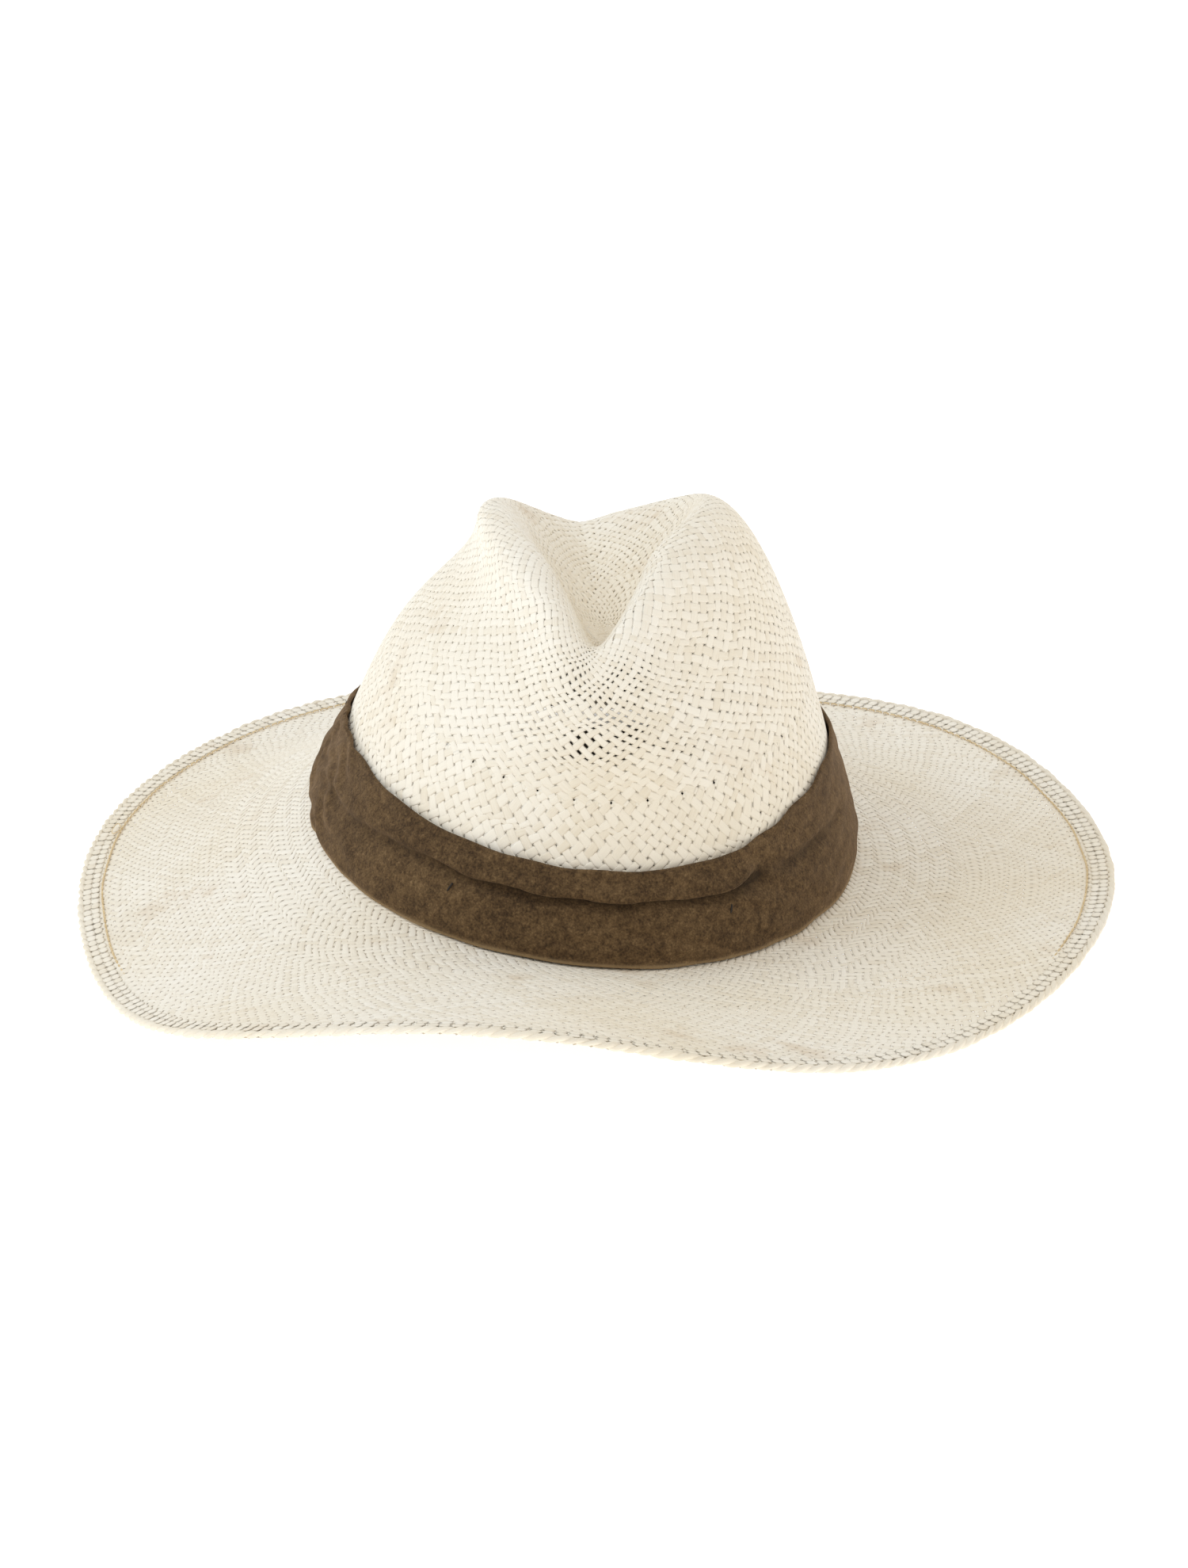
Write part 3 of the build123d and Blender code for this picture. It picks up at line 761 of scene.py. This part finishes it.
def lap_out(theta, share):
    across = (theta - pi / 2) / LAP_HALF_ANGLE
    return band_out(theta, share) + SUEDE + LAP_GAP - 0.25 * smooth_step(np.abs(across), 0.8, 1.0)


lap_turn = np.linspace(pi / 2 - LAP_HALF_ANGLE, pi / 2 + LAP_HALF_ANGLE, 60)
lap = panel("suede_band_lap", lap_turn, 30, suede_height, lap_out, SUEDE, False, BAND_MARKS)


def wall_threads(name, turn, height, off, facing, thick, marks):
    """Short threads on the crown's side. facing is 1 for threads outside the crown, -1 for those inside."""
    centre = WALL.at(turn, height, off)
    along = unit(np.gradient(centre, axis=1))
    _, _, nx, ny = break_oval(turn + 0.0 * height)
    side = unit(np.cross(facing * stack(nx, ny, 0.0 * nx), along)) * thick / 2
    return strips(name, centre, side, np.cross(along, side), disc(6), marks)


STITCH_STEPS = np.linspace(-0.5, 0.5, 6)[None, :]


def upright_stitches(name, places, length, thick, lean=0.0):
    """Upright threads outside the crown. places lists theta, height and stand-off of each one's middle."""
    turn, height, off = np.array(places).T[:, :, None]
    turn, height = turn + lean * STITCH_STEPS, height + length * STITCH_STEPS
    off = off - 0.5 * (2 * STITCH_STEPS) ** 4
    return wall_threads(name, turn, height, off, 1, thick, {"tone": height * 0.02, "along": height})


def level_stitches(name, places, length, thick):
    """The same for level threads inside the crown."""
    turn, height, off = np.array(places).T[:, :, None]
    turn, height = turn + length / MEAN_RADIUS * STITCH_STEPS, height + 0.0 * STITCH_STEPS
    off = off + 0.3 * (2 * STITCH_STEPS) ** 4
    return wall_threads(name, turn, height, off, -1, thick, {"tone": turn, "along": MEAN_RADIUS * turn})


def on_band(turn, level, height, face, out):
    """Where a stitch stands on the band: at a height, and as far out as the face of the band at a level."""
    return turn, height, float(face(np.array(turn), np.array(band_share(level)))) + out


lap_places = []
for hand in (-1, 1):
    for row in range(5):
        height = 6.25 + 5 * row
        lap_places.append(on_band(pi / 2 + hand * LAP_HALF_ANGLE * 0.8, height, height, lap_out, 0.1))
lap_thread = upright_stitches("band_lap_thread", lap_places, 2.6, 0.5)

TACK_LEVEL = 14.5
tack_places = []
for angle in TACKS:
    height = float(band_height(np.array(radians(angle)), TACK_LEVEL))
    tack_places.append(on_band(radians(angle), TACK_LEVEL, height, band_out, 0.12))
tack_thread = upright_stitches("band_tack_thread", tack_places, 3.0, 0.6, 0.012)

# ------------ sweatband and its trim
LEATHER_OUT = -(STRAW + SWEATBAND_GAP)
LEATHER_IN = LEATHER_OUT - SWEATBAND
LEATHER_WAVES = waves(71, 10, 3, 16)


def leather_height(theta, share):
    return mix(SWEATBAND_LOW, SWEATBAND_TALL, share) + 0.25 * share * LEATHER_WAVES(theta, 0.0)


def leather_out(theta, share):
    return LEATHER_OUT - 0.12 + 0.10 * LEATHER_WAVES(theta, 6 * share) * (0.3 + 0.7 * share)


round_inside = np.linspace(0, 2 * pi, 480, endpoint=False)
leather = panel("sweatband_leather", round_inside, 18, leather_height, leather_out, SWEATBAND, True)


REED_HALF = REED_DIAMETER / 2
reed_out = -(STRAW + SWEATBAND_GAP + REED_HALF)
reed = ring("sweatband_reed_cord", 360, reed_out, REED_HEIGHT, REED_HALF, REED_HALF, 12, 90)
SEAM_STITCHES = 180
seam_places = [(2 * pi * stitch / SEAM_STITCHES, 2.25, LEATHER_IN - 0.25) for stitch in range(SEAM_STITCHES)]
seam_thread = level_stitches("sweatband_thread", seam_places, 2.3, 0.45)
seam_half = SEAM_WIDTH / 2 / 90
tape = panel(
    "sweatband_seam_tape",
    np.linspace(pi / 2 - seam_half, pi / 2 + seam_half, 24),
    24,
    lambda theta, share: mix(3.5, SWEATBAND_TALL - 0.5, share) + 0.0 * theta,
    lambda theta, share: LEATHER_IN - SEAM_GAP + 0.05 * np.sin(share * 90) + 0.0 * theta,
    SEAM_THICK,
    False,
)

# ------------ label
TAB_OUT = LEATHER_IN - LABEL_STAND_OFF - LABEL_THICK
FOLD_AT = (np.array(label_fold["pos_m"], float) - ORIGIN) @ AXES.T / MM


CLOTH_POINTS = 33
SIDEWAYS = np.array([1.0, 0, 0])


def cloth_slab(name, foot_to_top, width, thick, origin, up, bow):
    """Thin cloth with rounded corners, hanging between two heights along up from origin."""
    low, high = foot_to_top
    a = np.linspace(-1, 1, CLOTH_POINTS)[:, None]
    b = np.linspace(0, 1, CLOTH_POINTS)[None, :]
    past_corner = (np.abs(2 * b - 1) - 0.94).clip(0)
    half = width / 2 - 0.6 * (1 - np.sqrt(np.clip(1 - past_corner**2 / 0.0036, 0, 1)))
    facing = unit(np.cross(SIDEWAYS, up))
    wave = bow * np.sin(pi * b) * np.cos(a * pi / 2) + 0.05 * np.sin(9 * a + 4 * b)
    middle = origin + SIDEWAYS * (a * half)[..., None] + up * mix(low, high, b + 0 * a)[..., None]
    points = []
    for hand in (1, -1):
        edge = 1 - 0.75 * np.maximum(np.abs(a) ** 12, np.abs(2 * b - 1) ** 12)
        points.append(middle + facing * (wave * 0.3 + hand * thick / 2 * 0.8 * edge)[..., None])
    top, under = points
    count = CLOTH_POINTS**2
    index = np.arange(count).reshape(CLOTH_POINTS, CLOTH_POINTS)
    first = stack(index[:-1, :-1], index[1:, :-1], index[1:, 1:], index[:-1, 1:]).reshape(-1, 4)
    second = first[:, ::-1] + count
    border = np.concatenate([index[:-1, 0], index[-1, :-1], index[:0:-1, -1], index[0, :0:-1]])
    following = np.roll(border, -1)
    rim = stack(border, following, following + count, border + count)[:, ::-1]
    everything = np.concatenate([top.reshape(-1, 3), under.reshape(-1, 3)])
    return new_mesh(name, everything, np.concatenate([first, second, rim]))


vertical = AXES @ np.array([0, 0, 1.0])
hanging = unit(vertical - SIDEWAYS * vertical[0])
FOLD_SLIT = 0.05             # from the fold down to the flap
TAB_CLEAR = 0.4              # from the fold up to the sewn part, so that the flap can swing past its edge
flap_span = (-FLAP_GAP - LABEL_FLAP, -FOLD_SLIT)
flap = cloth_slab("label_flap", flap_span, LABEL_WIDTH, LABEL_THICK, FOLD_AT, hanging, 0.25)
tab_low = WALL.at(pi / 2, LABEL_TOP - LABEL_TAB, TAB_OUT + LABEL_THICK / 2)
tab_high = WALL.at(pi / 2, LABEL_TOP, TAB_OUT + LABEL_THICK / 2)
tab_up = unit(tab_high - tab_low)
tab_span = (TAB_CLEAR - FOLD_GAP, float(np.linalg.norm(tab_high - tab_low)))
tab = cloth_slab("label_sewn_edge", tab_span, LABEL_WIDTH, LABEL_THICK, tab_low, tab_up, 0.0)
label_places = [(pi / 2 + (stitch - 3.5) * 2.1 / 90, LABEL_TOP - 1.25, TAB_OUT - 0.35) for stitch in range(8)]
label_thread = level_stitches("label_thread", label_places, 1.5, 0.4)


# ------------ camera
VIEW_PITCH, VIEW_ROLL, VIEW_RISE = radians(2.77), radians(6.0), 0.0301
ELEVATION, DISTANCE = radians(25), 1.6
LENS = 111.183426            # mm, on a sensor 36 mm across the longer side of the picture
view_pose = Matrix.Translation((0, 0, VIEW_RISE)) @ Matrix.Rotation(VIEW_ROLL, 4, "Y")
view_pose = view_pose @ Matrix.Rotation(VIEW_PITCH, 4, "X")
rest_pose = Matrix.Translation(Vector(ORIGIN)) @ Matrix(AXES.T.tolist()).to_4x4()
camera_data = bpy.data.cameras.new("camera")
camera_data.sensor_width = 36.0
camera_data.lens = LENS
camera_data.shift_x = 0.0062
camera_data.shift_y = 0.0718
camera_data.clip_start, camera_data.clip_end = 0.05, 50
camera = new_object("camera", camera_data)
stand = Matrix.Translation((0, -DISTANCE * cos(ELEVATION), DISTANCE * sin(ELEVATION)))
stand = stand @ Matrix.Rotation(pi / 2 - ELEVATION, 4, "X")
camera.matrix_world = rest_pose @ view_pose.inverted() @ stand
bpy.context.scene.camera = camera

# ------------ materials
class Finish:
    """One procedural material, built node by node."""

    def __init__(self, name, roughness, specular=0.4):
        self.material = bpy.data.materials.new(name)
        self.material.use_nodes = True
        self.tree = self.material.node_tree
        self.shader = self.tree.nodes["Principled BSDF"]
        self.shader.inputs["Roughness"].default_value = roughness
        self.shader.inputs["Specular IOR Level"].default_value = specular

    def node(self, kind, **settings):
        made = self.tree.nodes.new(kind)
        for key, value in settings.items():
            setattr(made, key, value)
        return made

    def link(self, source, target):
        self.tree.links.new(source, target)

    def attribute(self, name):
        return self.node("ShaderNodeAttribute", attribute_name=name).outputs["Fac"]

    def place(self):
        return self.node("ShaderNodeTexCoord").outputs["Object"]

    def feed(self, sockets, values):
        """Sets each socket to a number or a colour, or links it to another socket."""
        for socket, value in zip(sockets, values):
            if isinstance(value, (int, float)):
                socket.default_value = value
            elif isinstance(value, tuple):
                socket.default_value = (*value, 1)
            else:
                self.link(value, socket)

    def math(self, operation, a, b):
        made = self.node("ShaderNodeMath", operation=operation)
        self.feed(made.inputs, (a, b))
        return made.outputs[0]

    def weigh(self, *terms):
        """Sum of sockets, each times its own weight."""
        parts = [self.math("MULTIPLY", socket, weight) for socket, weight in terms]
        total = parts[0]
        for part in parts[1:]:
            total = self.math("ADD", total, part)
        return total

    def vector(self, x, y, z):
        made = self.node("ShaderNodeCombineXYZ")
        self.feed(made.inputs, (x, y, z))
        return made.outputs[0]

    def texture(self, kind, where, values, **settings):
        made = self.node(kind, **settings)
        for key, value in values.items():
            made.inputs[key].default_value = value
        self.link(where, made.inputs["Vector"])
        return made

    def noise(self, where, scale, detail=4.0, roughness=0.55):
        values = {"Scale": scale, "Detail": detail, "Roughness": roughness}
        return self.texture("ShaderNodeTexNoise", where, values).outputs["Fac"]

    def bands(self, where, scale, distortion, direction):
        values = {"Scale": scale, "Distortion": distortion}
        made = self.texture("ShaderNodeTexWave", where, values, wave_type="BANDS", bands_direction=direction)
        return made.outputs["Fac"]

    def ramp(self, value, stops):
        made = self.node("ShaderNodeValToRGB")
        elements = made.color_ramp.elements
        while len(elements) < len(stops):
            elements.new(0.5)
        for element, (at, colour) in zip(elements, stops):
            element.position = at
            element.color = (*colour, 1)
        self.link(value, made.inputs["Fac"])
        return made.outputs["Color"]

    def blend(self, share, first, second, how="MIX"):
        made = self.node("ShaderNodeMix", data_type="RGBA", blend_type=how)
        self.feed((made.inputs[0], made.inputs[6], made.inputs[7]), (share, first, second))
        return made.outputs[2]

    def bump(self, height, strength, distance):
        made = self.node("ShaderNodeBump")
        made.inputs["Strength"].default_value = strength
        made.inputs["Distance"].default_value = distance
        self.link(height, made.inputs["Height"])
        self.link(made.outputs["Normal"], self.shader.inputs["Normal"])

    def colour(self, socket):
        self.link(socket, self.shader.inputs["Base Color"])

    def rough(self, socket):
        self.link(socket, self.shader.inputs["Roughness"])


def grey(value):
    return value, value, value


def straw_finish(name="straw", light=(0.93, 0.87, 0.755), dark=(0.80, 0.71, 0.56), stain=(0.60, 0.43, 0.25)):
    """Split palm leaf: each strand has its own tone, fine fibres along it and a few tan stains."""
    f = Finish(name, 0.5, 0.35)
    tone, along, across = f.attribute("tone"), f.attribute("along"), f.attribute("across")
    fibre = f.noise(f.vector(f.math("MULTIPLY", along, 0.12), f.math("MULTIPLY", across, 2.2),
                             f.math("MULTIPLY", tone, 90.0)), 1.6, 5.0, 0.65)
    slow = f.noise(f.vector(f.math("MULTIPLY", along, 0.05), f.math("MULTIPLY", tone, 40.0), 0.0), 1.0, 2.0)
    value = f.weigh((tone, 0.34), (fibre, 0.5), (slow, 0.34))
    middling = tuple(mix(a, b, 0.7) for a, b in zip(dark, light))
    base = f.ramp(value, [(0.25, dark), (0.55, middling), (0.85, light)])
    patch = f.noise(f.place(), 34.0, 5.0, 0.6)
    spots = f.ramp(patch, [(0.60, grey(0)), (0.74, grey(0.42))])
    wide = f.noise(f.place(), 11.0, 2.0)
    warm = f.ramp(wide, [(0.35, grey(1)), (0.70, (0.965, 0.93, 0.86))])
    base = f.blend(1.0, base, warm, "MULTIPLY")
    f.colour(f.blend(spots, base, stain))
    f.rough(f.ramp(fibre, [(0.3, grey(0.42)), (0.7, grey(0.62))]))
    f.bump(fibre, 0.35, 0.00012)
    return f.material


def suede_finish():
    """Brushed brown suede: mottled nap, worn paler here and there, with a soft sheen, and painted shade that
    darkens it in the folds.
    """
    f = Finish("suede", 0.92, 0.2)
    place_at = f.place()
    mottle = f.noise(place_at, 60.0, 6.0, 0.62)
    brushed = f.noise(place_at, 420.0, 5.0, 0.7)
    grain = f.noise(place_at, 1500.0, 3.0, 0.7)
    value = f.weigh((mottle, 0.20), (brushed, 0.40), (grain, 0.40))
    nap = f.ramp(value, [(0.36, (0.022, 0.0115, 0.0045)), (0.46, (0.066, 0.037, 0.0155)),
                         (0.56, (0.132, 0.079, 0.034)), (0.67, (0.235, 0.150, 0.072))])
    # painted shade: the nap turns nearly black in the bottom of the folds
    nap_with_painted_shade = f.blend(f.math("MULTIPLY", f.attribute("painted_shade"), 0.8), nap, (0.016, 0.009, 0.004))
    f.colour(f.blend(f.math("MULTIPLY", f.attribute("cut"), 0.75), nap_with_painted_shade, (0.36, 0.25, 0.13)))
    f.shader.inputs["Sheen Weight"].default_value = 0.35
    f.shader.inputs["Sheen Roughness"].default_value = 0.45
    f.shader.inputs["Sheen Tint"].default_value = (0.60, 0.40, 0.23, 1)
    f.bump(f.math("ADD", f.math("MULTIPLY", grain, 0.5), brushed), 0.55, 0.0005)
    return f.material


def thread_finish(name, dark, light, shine=0.3):
    """Twisted thread: slanting plies and fine hairs."""
    f = Finish(name, 0.6, shine)
    place_at = f.place()
    tone = f.attribute("tone")
    plies = f.bands(place_at, 900.0, 2.0, "DIAGONAL")
    hair = f.noise(place_at, 4000.0, 2.0)
    value = f.weigh((plies, 0.4), (hair, 0.4), (tone, 0.2))
    f.colour(f.ramp(value, [(0.2, dark), (0.75, light)]))
    f.bump(plies, 0.5, 0.0002)
    return f.material


def leather_finish():
    """Dark dressed leather with a fine pebble and creases."""
    f = Finish("sweatband_leather", 0.5, 0.4)
    place_at = f.place()
    cells = f.texture("ShaderNodeTexVoronoi", place_at, {"Scale": 900.0}, feature="DISTANCE_TO_EDGE")
    worn = f.noise(place_at, 45.0, 5.0)
    pores = f.ramp(cells.outputs["Distance"], [(0.0, grey(0)), (0.18, grey(1))])
    f.colour(f.ramp(worn, [(0.3, (0.012, 0.010, 0.009)), (0.7, (0.032, 0.025, 0.020))]))
    f.rough(f.ramp(worn, [(0.3, grey(0.42)), (0.75, grey(0.64))]))
    f.bump(pores, 0.35, 0.0002)
    return f.material


def cloth_finish(name, dark, light, scale=1400.0):
    """Plain woven tape."""
    f = Finish(name, 0.85, 0.2)
    place_at = f.place()
    yarn = f.math("MULTIPLY", f.bands(place_at, scale, 0.6, "X"), f.bands(place_at, scale, 0.6, "Z"))
    worn = f.noise(place_at, 160.0, 4.0)
    f.colour(f.ramp(f.weigh((yarn, 0.35), (worn, 0.65)), [(0.25, dark), (0.7, light)]))
    f.bump(yarn, 0.5, 0.00015)
    f.shader.inputs["Sheen Weight"].default_value = 0.2
    return f.material


def wire_finish():
    """Drawn steel wire with fine marks."""
    f = Finish("hem_wire_steel", 0.35, 0.5)
    f.shader.inputs["Metallic"].default_value = 1.0
    marks = f.noise(f.place(), 1800.0, 4.0)
    f.colour(f.ramp(marks, [(0.3, (0.42, 0.42, 0.43)), (0.7, (0.66, 0.66, 0.67))]))
    f.rough(f.ramp(marks, [(0.3, grey(0.28)), (0.7, grey(0.45))]))
    f.bump(marks, 0.2, 0.00005)
    return f.material


straw = straw_finish()
rope_straw = straw_finish("edge_straw", (0.90, 0.83, 0.70), (0.75, 0.66, 0.52), (0.55, 0.40, 0.23))
suede = suede_finish()
tan_thread = thread_finish("tan_thread", (0.62, 0.44, 0.21), (0.90, 0.72, 0.44))
dark_thread = thread_finish("dark_thread", (0.010, 0.008, 0.006), (0.045, 0.034, 0.026))
leather_look = leather_finish()
reed_look = cloth_finish("reed_cover", (0.030, 0.026, 0.023), (0.075, 0.066, 0.058))
tape_look = cloth_finish("seam_tape", (0.020, 0.017, 0.015), (0.055, 0.047, 0.04))
label_look = cloth_finish("label_cloth", (0.60, 0.57, 0.50), (0.84, 0.82, 0.77))
wire_look = wire_finish()

# ------------ what each piece stands for
PIECES = [
    (crown_weave + upper_weave + crease_weave + centre_weave + [tip, foot], straw, "straw", ("crown",)),
    (inner_brim + outer_brim, straw, "straw", ("brim",)),
    (hem_weave + hem_ticks, straw, "straw", ("brim_hem",)),
    ([rope], rope_straw, "straw", ("brim_hem",)),
    (hem_thread, tan_thread, "tan_thread", ("hem_stitching",)),
    ([band], suede, "suede", ("hat_band",)),
    ([lap], suede, "suede", ("band_lap",)),
    ([lap_thread], dark_thread, "dark_thread", ("band_lap_stitches",)),
    ([tack_thread], dark_thread, "dark_thread", ("band_tacks",)),
    ([leather], leather_look, "sweatband_leather", ("sweatband",)),
    ([reed], reed_look, "reed", ("sweatband_reed",)),
    ([seam_thread], dark_thread, "dark_thread", ("sweatband_stitching",)),
    ([tape], tape_look, "dark_thread", ("sweatband_back_seam",)),
    ([tab], label_look, "label_cloth", ("label_tab",)),
    ([label_thread], dark_thread, "dark_thread", ("label_stitches",)),
]
for made, look, slot_name, nodes in PIECES:
    for piece in made:
        piece.data.materials.append(look)
        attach(piece, "hat")
        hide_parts(*nodes)
flap.data.materials.append(label_look)
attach(flap, "label")
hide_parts("size_label")
wire = frame["nodes"]["brim_wire"]
wire.data.materials.clear()
wire.data.materials.append(wire_look)

# ------------ stage
# painted shadow on the floor under the hat: where it sits and how large it is
PAINTED_SHADOW_AT = (0.0, 0.055)
PAINTED_SHADOW_HALF_WIDTH, PAINTED_SHADOW_HALF_LENGTH = 0.10, 0.12
PAINTED_SHADOW_SOFT = 0.8             # share of that size where the painted shadow begins to fade
FLOOR_GLOW = 0.62
FLOOR_HALF = 6
FLOOR_DROP = 0.0005          # below the hat, so that nothing lies in the floor
WORLD_STRENGTH = 0.86


def stage_floor():
    """Bright seamless floor, with a painted shadow: a dark oval without glow that stays under the hat."""
    mesh = bpy.data.meshes.new("floor")
    corners = [(FLOOR_HALF * x, FLOOR_HALF * y, 0) for x, y in ((-1, -1), (1, -1), (1, 1), (-1, 1))]
    mesh.from_pydata(corners, [], [(0, 1, 2, 3)])
    floor = new_object("floor", mesh)
    floor.location.z = -FLOOR_DROP
    f = Finish("floor", 0.9, 0.1)
    oval = f.node("ShaderNodeMapping", vector_type="TEXTURE")
    oval.inputs["Location"].default_value = (*PAINTED_SHADOW_AT, 0)
    oval.inputs["Scale"].default_value = (PAINTED_SHADOW_HALF_WIDTH, PAINTED_SHADOW_HALF_LENGTH, 1)
    f.link(f.place(), oval.inputs["Vector"])
    distance = f.node("ShaderNodeVectorMath", operation="LENGTH")
    f.link(oval.outputs["Vector"], distance.inputs[0])
    painted_shade = f.node("ShaderNodeMapRange")
    painted_shade.inputs["From Min"].default_value = PAINTED_SHADOW_SOFT
    painted_shade.inputs["From Max"].default_value = 1.0
    f.link(distance.outputs["Value"], painted_shade.inputs["Value"])
    # painted shadow: dark floor colour inside the oval
    f.colour(f.blend(painted_shade.outputs["Result"], (0.10, 0.09, 0.08), grey(0.9)))
    f.shader.inputs["Emission Strength"].default_value = FLOOR_GLOW
    # the glow is off inside the oval, so the painted shadow stays dark
    f.link(f.blend(painted_shade.outputs["Result"], grey(0), grey(1)), f.shader.inputs["Emission Color"])
    mesh.materials.append(f.material)


stage_floor()

world = bpy.data.worlds.new("studio")
bpy.context.scene.world = world
world.use_nodes = True
world.node_tree.nodes["Background"].inputs["Color"].default_value = (1, 1, 1, 1)
world.node_tree.nodes["Background"].inputs["Strength"].default_value = WORLD_STRENGTH


def soft_light(name, place_at, aim, size, power, colour=(1, 1, 1)):
    data = bpy.data.lights.new(name, "AREA")
    data.shape = "DISK"
    data.size = size
    data.energy = power
    data.color = colour
    thing = new_object(name, data)
    thing.location = place_at
    thing.rotation_euler = (Vector(aim) - Vector(place_at)).to_track_quat("-Z", "Y").to_euler()


soft_light("key", (-1.0, 0.0, 1.3), (0, 0, 0.05), 0.8, 5.5, (0.72, 0.86, 1.0))

bpy.context.scene.view_settings.view_transform = "Standard"
